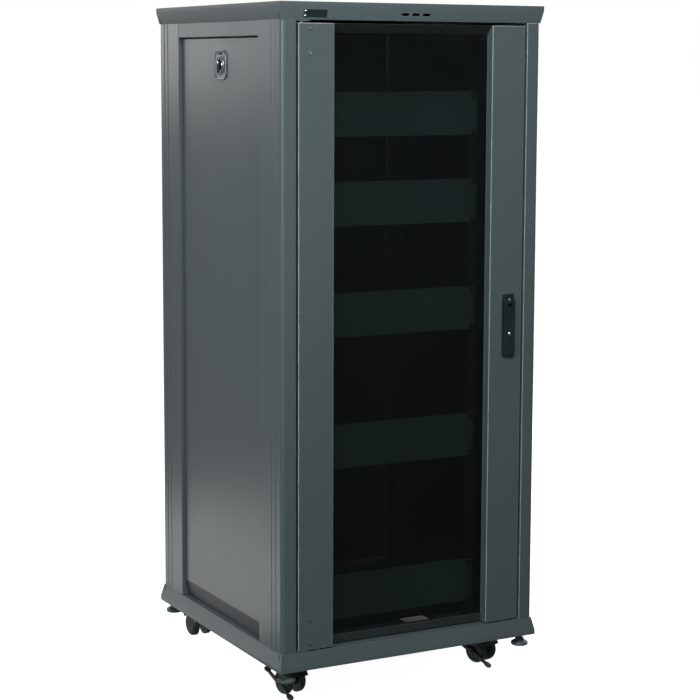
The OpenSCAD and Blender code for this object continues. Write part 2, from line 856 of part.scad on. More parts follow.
module caster_hood_front_left() caster_hood(0);
module caster_hood_front_right() caster_hood(1);
module caster_hood_rear_left() caster_hood(2);
module caster_hood_rear_right() caster_hood(3);
module caster_wheels_front_left() caster_wheels(0);
module caster_wheels_front_right() caster_wheels(1);
module caster_wheels_rear_left() caster_wheels(2);
module caster_wheels_rear_right() caster_wheels(3);
module brake_pedal_front_left() brake_pedal(0);
module brake_pedal_front_right() brake_pedal(1);

// ---------------------------------------------------------------- output

base_skirt();
floor_pan();
cap_frame();
top_panel();
post_front_left();
post_front_right();
post_rear_left();
post_rear_right();
side_rails();
rack_rails_front();
rack_rails_rear();
depth_braces();
blank_panel_1();
blank_panel_2();
blank_panel_3();
blank_panel_4();
blank_panel_5();
rack_screws();
hinge_brackets();
door_strikes();
badge_plate();
caster_plates();
caster_bolts();
foot_nuts();
door_stile_left();
door_stile_right();
door_rails();
door_window();
window_gasket();
door_hinges();
door_screws();
handle_plate();
handle_rotor();
lever_pin();
latch_cam();
handle_lever();
lock_cylinder();
rear_door();
rear_hinges();
rear_lock();
side_panel_left();
side_panel_right();
side_latch_plate_left();
side_latch_plate_right();
side_latch_left();
side_latch_right();
foot_front_left();
foot_front_right();
foot_rear_left();
foot_rear_right();
caster_hood_front_left();
caster_hood_front_right();
caster_hood_rear_left();
caster_hood_rear_right();
caster_wheels_front_left();
caster_wheels_front_right();
caster_wheels_rear_left();
caster_wheels_rear_right();
brake_pedal_front_left();
brake_pedal_front_right();
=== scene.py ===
"""Looks of the network server rack cabinet: powder-coated steel, smoked glass, casters and feet."""

import json
import math

import bmesh
import bpy
from mathutils import Matrix, Vector


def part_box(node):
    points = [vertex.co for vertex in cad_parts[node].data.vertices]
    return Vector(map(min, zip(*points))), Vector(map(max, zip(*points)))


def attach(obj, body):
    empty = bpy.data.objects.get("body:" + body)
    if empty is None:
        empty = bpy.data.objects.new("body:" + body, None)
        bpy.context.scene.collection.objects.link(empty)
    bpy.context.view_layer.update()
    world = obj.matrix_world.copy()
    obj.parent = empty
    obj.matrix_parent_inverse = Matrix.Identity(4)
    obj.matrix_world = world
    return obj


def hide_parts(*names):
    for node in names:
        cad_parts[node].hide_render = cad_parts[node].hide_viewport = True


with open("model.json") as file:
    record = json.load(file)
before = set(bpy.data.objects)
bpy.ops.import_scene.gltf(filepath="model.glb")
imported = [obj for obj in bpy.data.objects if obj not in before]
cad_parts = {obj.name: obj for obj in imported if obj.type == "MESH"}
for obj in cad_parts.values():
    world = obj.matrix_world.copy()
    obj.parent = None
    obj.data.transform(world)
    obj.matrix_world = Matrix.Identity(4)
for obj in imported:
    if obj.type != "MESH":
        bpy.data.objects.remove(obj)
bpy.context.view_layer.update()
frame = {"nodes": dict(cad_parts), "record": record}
MM = 0.001
CORNERS = ("front_left", "front_right", "rear_left", "rear_right")


# ------------------------------------------------------------------ camera, light and floor


def look_from(place, yaw, pitch, roll):
    """Camera matrix: yaw turns from +Y towards +X, pitch is above the horizon, in radians."""
    forward = Vector((math.sin(yaw) * math.cos(pitch), math.cos(yaw) * math.cos(pitch), math.sin(pitch)))
    right = Vector((math.cos(yaw), -math.sin(yaw), 0))
    up = right.cross(forward)
    level_right = right * math.cos(roll) + up * math.sin(roll)
    level_up = -right * math.sin(roll) + up * math.cos(roll)
    turned = Matrix((level_right, level_up, -forward)).transposed().to_4x4()
    return Matrix.Translation(place) @ turned


CAMERA_PLACE = (-1.8509, -3.4919, 1.2293)
CAMERA_YAW, CAMERA_PITCH, CAMERA_ROLL = 0.4910, -0.1290, 0.0037
LENS = 98.956


def make_camera():
    """Long lens at eye height, in front of the cabinet's left corner."""
    data = bpy.data.cameras.new("camera")
    data.lens = LENS
    data.sensor_width = 36
    data.shift_y = -0.05
    data.clip_start, data.clip_end = 0.1, 200
    data.dof.use_dof = False
    camera = bpy.data.objects.new("camera", data)
    camera.matrix_world = look_from(Vector(CAMERA_PLACE), CAMERA_YAW, CAMERA_PITCH, CAMERA_ROLL)
    bpy.context.scene.collection.objects.link(camera)
    bpy.context.scene.camera = camera


def area_light(name, place, target, size, power):
    """White rectangular light that the camera does not see."""
    data = bpy.data.lights.new(name, "AREA")
    data.shape = "RECTANGLE"
    data.size, data.size_y = size
    data.energy = power
    light = bpy.data.objects.new(name, data)
    light.location = place
    light.rotation_mode = "QUATERNION"
    light.rotation_quaternion = (Vector(target) - Vector(place)).to_track_quat("-Z", "Y")
    light.visible_camera = False
    bpy.context.scene.collection.objects.link(light)


BRIGHT_SIDE = (-0.45, 0.55, 0.70)
DIMMEST, BRIGHTEST = 0.06, 0.42


def make_world():
    """White to the camera, and a dim studio to the model: brighter behind and left, darker in front."""
    world = bpy.data.worlds.new("studio")
    world.use_nodes = True
    tree = world.node_tree
    background = tree.nodes["Background"]
    path, where, lean, shade, seen = (tree.nodes.new("ShaderNode" + kind) for kind in (
        "LightPath", "TexCoord", "VectorMath", "MapRange", "Mix"))
    lean.operation = "DOT_PRODUCT"
    lean.inputs[1].default_value = BRIGHT_SIDE
    shade.inputs["From Min"].default_value = -1.0
    shade.inputs["To Min"].default_value = DIMMEST
    shade.inputs["To Max"].default_value = BRIGHTEST
    tree.links.new(where.outputs["Generated"], lean.inputs[0])
    tree.links.new(lean.outputs["Value"], shade.inputs["Value"])
    tree.links.new(path.outputs["Is Camera Ray"], seen.inputs["Factor"])
    tree.links.new(shade.outputs["Result"], seen.inputs["A"])
    seen.inputs["B"].default_value = 1.0
    tree.links.new(seen.outputs["Result"], background.inputs["Strength"])
    background.inputs["Color"].default_value = (1, 1, 1, 1)
    bpy.context.scene.world = world


# Painted shadow: the floor's glow dims inside a disc round this centre, fading between these radii in
# metres, down to SHADOW_GLOW.
SHADOW_CENTRE = (0.10, 0.16, 0)
SHADOW_INSIDE, SHADOW_OUTSIDE = 0.17, 0.27
SHADOW_GLOW, FLOOR_GLOW = 0.10, 0.95


def make_floor():
    """A wide pale floor that keeps its brightness far from the lights, with a painted shadow under the
    model: its glow dims in a disc there.
    """
    half = 60.0
    mesh = bpy.data.meshes.new("floor")
    corners = [(-half, -half, 0), (half, -half, 0), (half, half, 0), (-half, half, 0)]
    mesh.from_pydata(corners, [], [(0, 1, 2, 3)])
    floor = bpy.data.objects.new("floor", mesh)
    bpy.context.scene.collection.objects.link(floor)
    floor.visible_diffuse = False
    floor.visible_glossy = False
    paint = bpy.data.materials.new("floor")
    paint.use_nodes = True
    shader = paint.node_tree.nodes["Principled BSDF"]
    shader.inputs["Base Color"].default_value = (0.5, 0.5, 0.5, 1)
    shader.inputs["Roughness"].default_value = 0.9
    shader.inputs["Specular IOR Level"].default_value = 0.1
    shader.inputs["Emission Color"].default_value = (1, 1, 1, 1)
    where, far, glow_with_painted_shadow = (paint.node_tree.nodes.new("ShaderNode" + kind) for kind in (
        "TexCoord", "VectorMath", "MapRange"))
    far.operation = "DISTANCE"
    far.inputs[1].default_value = SHADOW_CENTRE
    glow_with_painted_shadow.interpolation_type = "SMOOTHSTEP"
    glow_with_painted_shadow.inputs["From Min"].default_value = SHADOW_INSIDE
    glow_with_painted_shadow.inputs["From Max"].default_value = SHADOW_OUTSIDE
    glow_with_painted_shadow.inputs["To Min"].default_value = SHADOW_GLOW
    glow_with_painted_shadow.inputs["To Max"].default_value = FLOOR_GLOW
    paint.node_tree.links.new(where.outputs["Object"], far.inputs[0])
    paint.node_tree.links.new(far.outputs["Value"], glow_with_painted_shadow.inputs["Value"])
    paint.node_tree.links.new(glow_with_painted_shadow.outputs["Result"], shader.inputs["Emission Strength"])
    mesh.materials.append(paint)


def make_lights():
    """Key and strip at the front left, soft panels behind and on the right, floor bounce on the left."""
    bpy.context.scene.view_settings.view_transform = "Standard"
    bpy.context.scene.view_settings.look = "None"
    area_light("key", (-0.80, -1.95, 2.30), (-0.12, -0.3, 1.05), (1.0, 1.0), 80)
    area_light("strip", (-3.0, -1.95, 1.75), (0, 0, 1.0), (0.3, 1.5), 50)
    area_light("rear_left", (-1.05, 3.1, 2.0), (-0.3, 0.2, 1.1), (1.3, 1.8), 21)
    area_light("top", (0.1, 0.3, 3.2), (0, 0, 1.3), (1.6, 1.6), 9)
    area_light("bounce_left", (-0.70, 0.80, 0.01), (-0.70, 0.80, 1.0), (0.6, 1.3), 2.6)
    area_light("rear_right", (1.9, 2.5, 1.5), (0.1, 0.2, 0.7), (1.4, 1.6), 34)
    area_light("fill_right", (2.6, 1.0, 1.3), (0.2, 0, 0.7), (1.6, 1.6), 14)


# ------------------------------------------------------------------ materials


WORN_PAINT = (0.30, 0.34, 0.34)
# Painted highlight: a pale colour on rounded edges that face left and up in the room, along the
# direction below.
EDGE_HIGHLIGHT_COLOUR = (0.62, 0.68, 0.70)
EDGE_HIGHLIGHT_SIDE = (-0.8, -0.2, 0.55)
# Heights in metres over which the painted shade near the floor fades in.
LOW_SHADE_TOP, LOW_SHADE_BOTTOM = 0.25, 0.15
FLAT, SHARP = 0.97, 0.75


class Nodes:
    """Short ways to add and join the nodes of one material."""

    def __init__(self, name):
        self.material = bpy.data.materials.new(name)
        self.material.use_nodes = True
        self.tree = self.material.node_tree
        self.shader = self.tree.nodes["Principled BSDF"]
        self.place = self.add("ShaderNodeTexCoord").outputs["Object"]

    def add(self, kind, **inputs):
        node = self.tree.nodes.new(kind)
        for key, value in inputs.items():
            self.feed(node.inputs[key.replace("_", " ")], value)
        return node

    def feed(self, socket, value):
        if isinstance(value, bpy.types.NodeSocket):
            self.tree.links.new(value, socket)
        else:
            socket.default_value = value

    def stretched(self, scale):
        """Object coordinates with another scale along each axis."""
        return self.add("ShaderNodeMapping", Vector=self.place, Scale=scale).outputs["Vector"]

    def noise(self, scale, detail=2.0, rough=0.5, vector=None):
        where = vector or self.place
        node = self.add("ShaderNodeTexNoise", Vector=where, Scale=scale, Detail=detail, Roughness=rough)
        return node.outputs["Fac"]

    def cells(self, scale):
        node = self.add("ShaderNodeTexVoronoi", Vector=self.place, Scale=scale)
        return node.outputs["Distance"]

    def remap(self, value, low, high, to_low=0.0, to_high=1.0):
        node = self.add("ShaderNodeMapRange", Value=value, From_Min=low, From_Max=high)
        node.inputs["To Min"].default_value = to_low
        node.inputs["To Max"].default_value = to_high
        return node.outputs["Result"]

    def maths(self, operation, a, b):
        node = self.add("ShaderNodeMath")
        node.operation = operation
        self.feed(node.inputs[0], a)
        self.feed(node.inputs[1], b)
        return node.outputs["Value"]

    def mix(self, factor, a, b):
        node = self.add("ShaderNodeMix")
        node.data_type = "RGBA"
        sockets = [s for s in node.inputs if s.enabled]
        self.feed(sockets[0], factor)
        for socket, value in ((sockets[1], a), (sockets[2], b)):
            self.feed(socket, value if isinstance(value, bpy.types.NodeSocket) else (*value, 1))
        return [s for s in node.outputs if s.enabled][0]

    def edges(self, radius=0.0012, toward=None):
        """1 along edges, 0 on flat faces: how far a rounded normal leans from the face's own.

        toward keeps only the edges that look that way.
        """
        rounded = self.add("ShaderNodeBevel", Radius=radius)
        rounded.samples = 4
        own = self.add("ShaderNodeNewGeometry").outputs["Normal"]
        mask = self.remap(self.dot(rounded.outputs["Normal"], own), FLAT, SHARP)
        if toward:
            side = self.remap(self.dot(rounded.outputs["Normal"], toward), 0.32, 0.6)
            mask = self.maths("MULTIPLY", mask, side)
        return mask

    def dot(self, a, b):
        node = self.add("ShaderNodeVectorMath")
        node.operation = "DOT_PRODUCT"
        self.feed(node.inputs[0], a)
        self.feed(node.inputs[1], b)
        return node.outputs["Value"]

    def bump(self, layers):
        """Chains height layers, each (height, strength, distance in metres), onto the normal."""
        normal = None
        for height, strength, distance in layers:
            node = self.add("ShaderNodeBump", Height=height, Strength=strength, Distance=distance)
            if normal is not None:
                self.tree.links.new(normal, node.inputs["Normal"])
            normal = node.outputs["Normal"]
        self.tree.links.new(normal, self.shader.inputs["Normal"])

    def finish(self, **inputs):
        for key, value in inputs.items():
            name = key.replace("_", " ")
            is_colour = isinstance(value, tuple) and len(value) == 3
            self.feed(self.shader.inputs[name], (*value, 1) if is_colour else value)
        return self.material


def scaled(colour, share):
    return tuple(c * share for c in colour)


def powder_coat(name, colour, rough, worn, painted_low_shade=1.0, painted_highlight=False, shine=0.5):
    """Baked powder paint: fine orange peel, slow colour drift, wear on its edges.

    A low shade below 1 darkens it near the floor: painted shade, as on the rails that sit deep under the
    side panels.
    A painted highlight brightens the edges that face left and up in the room.
    """
    n = Nodes(name)
    drift = n.noise(2.2, 3.0)
    tone = n.mix(n.remap(drift, 0.3, 0.7), scaled(colour, 0.96), scaled(colour, 1.04))
    speckle = n.noise(520.0, 1.0)
    tone = n.mix(n.remap(speckle, 0.45, 0.75, 0.0, 0.12), tone, scaled(colour, 1.5))
    # Painted shade: the colour darkens towards the floor.
    if painted_low_shade < 1.0:
        height = n.add("ShaderNodeSeparateXYZ", Vector=n.place).outputs["Z"]
        shade_near_floor = n.remap(height, LOW_SHADE_TOP, LOW_SHADE_BOTTOM)
        tone = n.mix(shade_near_floor, tone, scaled(colour, painted_low_shade))
    scuffs = n.noise(38.0, 6.0, 0.65)
    wear = n.maths("MULTIPLY", n.edges(), n.remap(scuffs, 0.42, 0.62, 0.1, 1.0))
    tone = n.mix(n.maths("MULTIPLY", wear, worn), tone, WORN_PAINT)
    # Painted highlight: edges facing left and up in the room turn pale, a little broken by the scuffs.
    if painted_highlight:
        bright = n.edges(0.003, toward=EDGE_HIGHLIGHT_SIDE)
        bright = n.maths("MULTIPLY", bright, n.remap(scuffs, 0.35, 0.6, 0.75, 1.0))
        tone = n.mix(bright, tone, EDGE_HIGHLIGHT_COLOUR)
    gloss = n.remap(n.noise(9.0, 4.0), 0.3, 0.7, rough - 0.025, rough + 0.025)
    n.bump([(n.noise(260.0, 2.0), 0.10, 0.0004)])
    return n.finish(Base_Color=tone, Roughness=gloss, IOR=1.5, Specular_IOR_Level=shine)


def plated(name, colour, rough, metallic=1.0):
    """Zinc, nickel or chrome plate: brushed streaks, cloudy tints and dull spots."""
    n = Nodes(name)
    clouds = n.noise(60.0, 4.0)
    tone = n.mix(n.remap(clouds, 0.3, 0.7), scaled(colour, 0.82), scaled(colour, 1.08))
    brushed = n.noise(1.0, 3.0, 0.6, n.stretched((120.0, 120.0, 2600.0)))
    gloss = n.remap(n.maths("ADD", clouds, brushed), 0.7, 1.3, rough - 0.07, rough + 0.1)
    n.bump([(brushed, 0.08, 0.0001)])
    return n.finish(Base_Color=tone, Roughness=gloss, Metallic=metallic)


def moulded(name, colour, rough, grain, worn=0.0, shine=0.5):
    """Moulded plastic or cast metal with a spark-eroded grain."""
    n = Nodes(name)
    dust = n.noise(26.0, 5.0, 0.6)
    tone = n.mix(n.remap(dust, 0.35, 0.75), colour, scaled(colour, 1.5))
    if worn:
        tone = n.mix(n.maths("MULTIPLY", n.edges(), worn), tone, scaled(colour, 4.0))
    gloss = n.remap(dust, 0.3, 0.7, rough - 0.05, rough + 0.08)
    n.bump([(n.cells(grain), 0.25, 0.0002), (n.noise(grain * 2.0, 2.0), 0.1, 0.0001)])
    return n.finish(Base_Color=tone, Roughness=gloss, IOR=1.48, Specular_IOR_Level=shine)


def smoked(name, alpha):
    """Dark sheet glass with faint smears on its face; alpha is how much of it hides what is behind."""
    n = Nodes(name)
    smears = n.noise(6.0, 5.0, 0.6)
    tone = n.mix(n.remap(smears, 0.3, 0.7), (0.001, 0.002, 0.002), (0.002, 0.0035, 0.0035))
    gloss = n.remap(smears, 0.35, 0.75, 0.02, 0.07)
    n.bump([(n.noise(1.5, 2.0), 0.02, 0.001)])
    return n.finish(Base_Color=tone, Roughness=gloss, IOR=1.5, Alpha=alpha)


def make_materials():
    """The cabinet's finishes by name; the blank panels and floor pan get a lighter, greener paint as
    painted light for what reaches them through the smoked glass.
    """
    grey = (0.046, 0.063, 0.066)
    # Lighter and greener than the grey: painted light for the blank panels and floor pan behind the
    # smoked glass.
    lit_panel_colour = (0.14, 0.26, 0.26)
    return {
        "grey_paint": powder_coat("grey_paint", grey, 0.31, 0.55),
        # Grey with a painted highlight on the edges that face left and up.
        "highlit_edge_paint": powder_coat("highlit_edge_paint", grey, 0.31, 0.55, painted_highlight=True),
        # Grey with painted shade that darkens it near the floor.
        "shaded_rail_paint": powder_coat("shaded_rail_paint", grey, 0.36, 0.4, painted_low_shade=0.45),
        # Grey darkened to a quarter: painted shade on the door rails above and below the glass.
        "shaded_sill_paint": powder_coat("shaded_sill_paint", scaled(grey, 0.24), 0.4, 0.3),
        "lid_paint": powder_coat("lid_paint", grey, 0.7, 0.4, shine=0.12),
        "inner_paint": powder_coat("inner_paint", grey, 0.45, 0.35),
        "zinc": plated("zinc", (0.32, 0.345, 0.35), 0.38),
        "chrome": plated("chrome", (0.82, 0.84, 0.85), 0.16),
        "nickel": plated("nickel", (0.34, 0.37, 0.38), 0.22),
        "latch_metal": plated("latch_metal", (0.10, 0.125, 0.13), 0.3, 0.5),
        "black_metal": moulded("black_metal", (0.006, 0.012, 0.012), 0.34, 1500.0, 0.3, 0.3),
        "black_plastic": moulded("black_plastic", (0.018, 0.026, 0.026), 0.34, 1100.0, 0.3),
        "matt_black": moulded("matt_black", (0.003, 0.006, 0.006), 0.55, 1100.0, 0.2, 0.12),
        "wheel_plastic": moulded("wheel_plastic", (0.026, 0.038, 0.038), 0.32, 700.0, 0.25),
        "hub_grey": moulded("hub_grey", (0.030, 0.042, 0.044), 0.35, 900.0, 0.3),
        "rubber": moulded("rubber", (0.006, 0.008, 0.008), 0.75, 900.0),
        "foot_metal": moulded("foot_metal", (0.040, 0.056, 0.056), 0.34, 800.0, 0.5),
        "badge": moulded("badge", (0.006, 0.012, 0.012), 0.3, 1600.0, 0.4),
        # Painted light: this paint is lighter than the grey so the panels read through the smoked glass.
        "lit_panel_paint": powder_coat("lit_panel_paint", lit_panel_colour, 0.5, 0.3),
        "smoked_glass": smoked("smoked_glass", 0.58),
    }


# ------------------------------------------------------------------ CAD nodes

# Nodes that look different from their record slot, and edge widths in millimetres.
# Painted light and shade among these: the side rails' and door rails' paints carry painted shade, the
# stiles and right front post a painted edge highlight, and the blank panels and floor pan a lighter
# paint that is painted light.
LOOKS = {"side_rails": "shaded_rail_paint", "door_rails": "shaded_sill_paint", "door_stile_left": "highlit_edge_paint",
         "door_stile_right": "highlit_edge_paint", "post_front_right": "highlit_edge_paint",
         "top_panel": "lid_paint", "cap_frame": "inner_paint", "floor_pan": "lit_panel_paint"}
LOOKS.update({"blank_panel_%d" % i: "lit_panel_paint" for i in range(1, 6)})
BEVELS = {"door_window": 0.4, "window_gasket": 0.1, "rack_screws": 0.3, "door_screws": 0.2,
          "lock_cylinder": 0.3, "lever_pin": 0.3, "rack_rails_front": 0.3, "rack_rails_rear": 0.3,
          "top_panel": 0.5, "rear_door": 0.6, "badge_plate": 0.25,
          "door_stile_left": 1.6, "door_stile_right": 1.6}
PLAIN_BEVEL = 0.8


def smooth_group():
    """Node group for a modifier that shades every face smooth."""
    group = bpy.data.node_groups.new("smooth", "GeometryNodeTree")
    group.interface.new_socket("Geometry", in_out="INPUT", socket_type="NodeSocketGeometry")
    group.interface.new_socket("Geometry", in_out="OUTPUT", socket_type="NodeSocketGeometry")
    start, shade, end = (group.nodes.new(kind) for kind in (
        "NodeGroupInput", "GeometryNodeSetShadeSmooth", "NodeGroupOutput"))
    group.links.new(start.outputs["Geometry"], shade.inputs["Geometry"])
    group.links.new(shade.outputs["Geometry"], end.inputs["Geometry"])
    return group


SMOOTH = smooth_group()


def soften(piece, width, angle=35.0):
    """Rounds the sharp edges of a mesh by width millimetres, and shades the rest smooth."""
    piece.modifiers.new("weld", "WELD").merge_threshold = 1e-5
    flat = piece.modifiers.new("flat", "DECIMATE")
    flat.decimate_type = "DISSOLVE"
    flat.angle_limit = math.radians(0.5)
    bevel = piece.modifiers.new("bevel", "BEVEL")
    bevel.width = width * MM
    bevel.segments = 2
    bevel.limit_method = "ANGLE"
    bevel.angle_limit = math.radians(angle)
    piece.modifiers.new("smooth", "NODES").node_group = SMOOTH
    normals = piece.modifiers.new("normals", "WEIGHTED_NORMAL")
    normals.keep_sharp = False
    normals.weight = 100


def dress_nodes(materials):
    """Gives every CAD node the material of its record slot, and soft edges."""
    for entry in frame["record"]["subparts"]:
        name = entry["node"]
        node = frame["nodes"][name]
        node.data.materials.clear()
        node.data.materials.append(materials[LOOKS.get(name, entry["material_slot"])])
        soften(node, BEVELS.get(name, PLAIN_BEVEL))


# ------------------------------------------------------------------ mesh helpers


def make_piece(name, mesh, look, body, bevel=0.3):
    """Object from a bmesh in metres, riding on a body, with soft edges."""
    bmesh.ops.remove_doubles(mesh, verts=mesh.verts, dist=1e-6)
    bmesh.ops.recalc_face_normals(mesh, faces=mesh.faces)
    data = bpy.data.meshes.new(name)
    mesh.to_mesh(data)
    mesh.free()
    piece = bpy.data.objects.new(name, data)
    bpy.context.scene.collection.objects.link(piece)
    data.materials.append(MATERIALS[look])
    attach(piece, body)
    if bevel:
        soften(piece, bevel)
    return piece


def band(mesh, rings, place=Matrix()):
    """Joins rings of equally many points, in millimetres; a repeated ring closes a tube on itself."""
    rows = [[mesh.verts.new(place @ (Vector(point) * MM)) for point in ring] for ring in rings]
    for low, high in zip(rows, rows[1:]):
        for i in range(len(low)):
            j = (i + 1) % len(low)
            mesh.faces.new((low[i], low[j], high[j], high[i]))
    return rows


def loft(mesh, rings, place=Matrix()):
    """A band whose ends are closed."""
    rows = band(mesh, rings, place)
    mesh.faces.new(list(reversed(rows[0])))
    mesh.faces.new(rows[-1])


def circle(radius, height, steps=48, centre=(0, 0)):
    turn = 2 * math.pi / steps
    return [(centre[0] + radius * math.cos(turn * i), centre[1] + radius * math.sin(turn * i), height)
            for i in range(steps)]


def rounded(width, length, radius, height, per_corner=12):
    """Rectangle with round corners, starting at its right side."""
    points = []
    for k, (sx, sy) in enumerate(((1, 1), (-1, 1), (-1, -1), (1, -1))):
        for i in range(per_corner):
            angle = math.pi / 2 * (k + i / (per_corner - 1))
            points.append((sx * (width / 2 - radius) + radius * math.cos(angle),
                           sy * (length / 2 - radius) + radius * math.sin(angle), height))
    return points


def lathe(mesh, profile, place=Matrix(), steps=48):
    """Turned shape from (radius, height) pairs about local Z."""
    loft(mesh, [circle(max(radius, 0.01), height, steps) for radius, height in profile], place)


def facing(direction, up, centre):
    """Matrix whose local Z points along direction and whose local Y is up."""
    z = Vector(direction).normalized()
    y = Vector(up).normalized()
    x = y.cross(z)
    return Matrix.Translation(centre) @ Matrix((x, y, z)).transposed().to_4x4()


def middle(node):
    low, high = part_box(node)
    return (Vector(low) + Vector(high)) / 2


def carve(piece, cutter_mesh):
    """Cuts a closed bmesh out of a piece's mesh."""
    data = bpy.data.meshes.new("cutter")
    bmesh.ops.recalc_face_normals(cutter_mesh, faces=cutter_mesh.faces)
    cutter_mesh.to_mesh(data)
    cutter_mesh.free()
    cutter = bpy.data.objects.new("cutter", data)
    bpy.context.scene.collection.objects.link(cutter)
    cut = piece.modifiers.new("cut", "BOOLEAN")
    cut.operation = "DIFFERENCE"
    cut.solver = "EXACT"
    cut.object = cutter
    others = [m for m in piece.modifiers if m is not cut]
    shown = [m.show_viewport for m in others]
    for m in others:
        m.show_viewport = False
    bpy.context.view_layer.update()
    solid = piece.evaluated_get(bpy.context.evaluated_depsgraph_get())
    result = bpy.data.meshes.new_from_object(solid)
    piece.modifiers.remove(cut)
    for m, was in zip(others, shown):
        m.show_viewport = was
    piece.data = result
    bpy.data.objects.remove(cutter)


# ------------------------------------------------------------------ side latches


COLLAR_HEIGHT = 4.0


def latch_frame(side):
    """Local frame of a side latch, on the panel's face: Y is up and Z points out of the panel."""
    sign = -1 if side == "left" else 1
    low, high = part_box("side_latch_plate_" + side)
    outer = low[0] if side == "left" else high[0]
    centre = middle("side_latch_plate_" + side)
    face = outer - sign * COLLAR_HEIGHT * MM
    return facing((sign, 0, 0), (0, 0, 1), (face, centre.y, centre.z))


def latch_plate(side):
    """Die-cast plate: rolled rim, sunk field, raised collar and a boss behind the sheet."""
    place = latch_frame(side)
    outline = ((54, 58, 15, 0.0), (54, 58, 15, 1.8), (52.4, 56.4, 14.2, 2.7), (50, 54, 13, 2.8),
               (47.5, 51.5, 12, 2.2), (46.5, 50.5, 11.5, 1.3))
    collar = ((19.5, 1.3), (18.6, 1.8), (18, 3.6), (17.2, 4.0), (15.2, 4.0), (14.4, 3.4), (14, 1.9),
              (6.1, 1.9))
    mesh = bmesh.new()
    rings = [rounded(*size) for size in outline]
    rings += [circle(radius, height) for radius, height in collar]
    rings += [circle(6.1, -12), circle(11.4, -12), circle(11.4, 0.0)]
    band(mesh, rings + rings[:1], place)
    body = "side_panel_" + side
    piece = make_piece("latch_plate_" + side, mesh, "latch_metal", body, 0.25)
    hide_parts("side_latch_plate_" + side)
    # Painted shade: a matt black pad stands where the slot's dark inside would be; no slot is cut.
    slot = bmesh.new()
    above = place @ Matrix.Translation((0, 22.3 * MM, 0))
    loft(slot, [rounded(20, 4.4, 2, 0.6), rounded(20, 4.4, 2, 1.45)], above)
    make_piece("latch_slot_shade_" + side, slot, "matt_black", body, 0.0)


def latch_wing(side):
    """Black thumb wing with a nickel ring under it and a chrome screw in it."""
    body = "side_latch_" + side
    tilt = Matrix.Rotation(math.radians(-16 if side == "left" else 16), 4, "Z")
    place = latch_frame(side) @ tilt
    mesh = bmesh.new()
    levels = ((1.0, 4.1), (1.0, 5.6), (0.93, 6.5), (0.78, 6.9))
    outline = wing_outline()
    loft(mesh, [[(x * share, y * share, height) for x, y in outline] for share, height in levels], place)
    make_piece("latch_wing_" + side, mesh, "matt_black", body, 0.3)
    mesh = bmesh.new()
    ring = ((9.0, 2.2), (13.6, 2.2), (13.6, 3.9), (13.1, 4.5), (12.2, 4.6), (11.7, 4.4))
    lathe(mesh, ring, place)
    make_piece("latch_ring_" + side, mesh, "nickel", body, 0.0)
    mesh = bmesh.new()
    above = place @ Matrix.Translation((0, 5 * MM, 0))
    lathe(mesh, ((2.6, 6.4), (2.6, 7.1), (2.0, 7.5), (0.3, 7.6)), above)
    make_piece("latch_screw_" + side, mesh, "chrome", body, 0.0)


def wing_outline(steps=40):
    """Teardrop 16 wide, from 11.5 above the axis to 16 below it."""
    points = []
    for i in range(steps):
        angle = 2 * math.pi * i / steps
        x, y = math.cos(angle), math.sin(angle)
        taper = 1.0 if y > 0 else 1.0 - 0.62 * abs(y) ** 1.3
        points.append((8.0 * x * taper, (11.5 if y > 0 else 16.0) * y))
    return points


# ------------------------------------------------------------------ small front parts


CAP_FLARE, CAP_SLOPE_HEIGHT = 5, 24
STUD_INSET = 3.2
SCREW_SETBACK = 0.7


def badge_studs():
    """Two bright rivet heads at the left end of the badge plate."""
    low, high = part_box("badge_plate")
    lean = math.atan2(CAP_FLARE, CAP_SLOPE_HEIGHT)
    out = Vector((0, -math.cos(lean), -math.sin(lean)))
    for share, name in ((0.22, "low"), (0.80, "high")):
        height = low[2] + share * (high[2] - low[2])
        spot = Vector((low[0] + STUD_INSET * MM, high[1] - share * (high[1] - low[1]), height))
        spot += out * MM
        mesh = bmesh.new()
        profile = ((2.2, -1.5), (2.2, 0.4), (2.0, 0.9), (1.5, 1.4), (0.8, 1.7), (0.1, 1.8))
        lathe(mesh, profile, facing(out, (0, -out.z, out.y), spot), 24)
        make_piece("badge_stud_" + name, mesh, "chrome", "cabinet", 0.0)


def key_plug():
    """Domed chrome plug with a key slit, in place of the plain one."""
    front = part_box("lock_cylinder")[0][1]
    centre = middle("lock_cylinder")
    place = facing((0, -1, 0), (0, 0, 1), (centre.x, front, centre.z))
    mesh = bmesh.new()
    dome = ((4.2, -1.6), (3.7, -1.05), (3.0, -0.6), (2.1, -0.26), (1.1, -0.06), (0.1, 0))
    lathe(mesh, ((4.45, -8), (4.45, -2.2)) + dome, place)
    plug = make_piece("key_plug", mesh, "chrome", "lock_cylinder", 0.0)
    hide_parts("lock_cylinder")
    slit = bmesh.new()
    loft(slit, [rounded(1.2, 5.4, 0.3, -4, 3), rounded(1.2, 5.4, 0.3, 2, 3)], place)
    carve(plug, slit)


def handle_screw():
    """Domed screw that holds the lever's rotor."""
    centre = middle("lever_pin")
    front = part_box("handle_lever")[0][1] + SCREW_SETBACK * MM
    mesh = bmesh.new()
    profile = ((3.6, -1.6), (3.6, -0.1), (3.2, 0.3), (2.2, 0.6), (1.1, 0.72), (0.1, 0.75))
    lathe(mesh, profile, facing((0, -1, 0), (0, 0, 1), (centre.x, front, centre.z)), 32)
    make_piece("handle_screw", mesh, "nickel", "handle_rotor", 0.0)


SEAL_WIDTH, SEAL_THICKNESS = 9, 2.7
SEAL_INSET, SEAL_RISE = 12, 1.45


